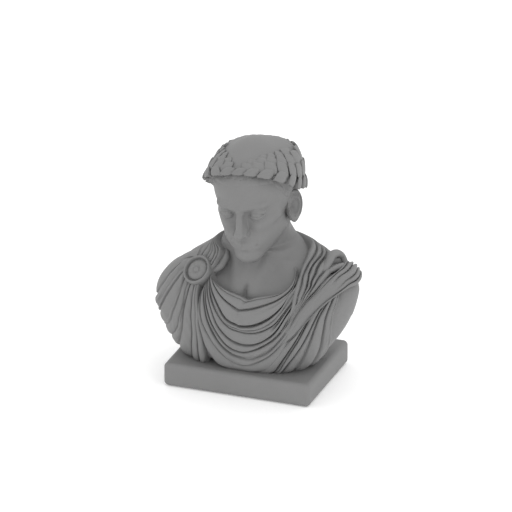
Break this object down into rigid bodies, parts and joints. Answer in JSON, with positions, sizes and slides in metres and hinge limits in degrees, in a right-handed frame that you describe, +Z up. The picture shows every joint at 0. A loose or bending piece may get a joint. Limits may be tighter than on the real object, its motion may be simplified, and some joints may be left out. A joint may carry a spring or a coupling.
{
  "type": "roman emperor bust",
  "caption": "Carved stone portrait bust in laurel wreath, tunic and mantle pinned by a round brooch, on a rounded slab plinth.",
  "frame": {"origin": "middle of the plinth's flat underside, on the surface that the object stands on", "axes": "+Z up, the face looks along -Y, the bust's own left shoulder lies towards +X"},
  "size_m": [0.4124, 0.2373, 0.4917],
  "materials": {
    "carved_stone": "fine matt mid-grey stone, rubbed smooth on the skin and cloth",
    "plinth_stone": "fine matt mid-grey stone, honed flat with eased edges"
  },
  "bodies": {
    "root": {"bust": "carved_stone", "plinth": "plinth_stone"}
  },
  "joints": []
}
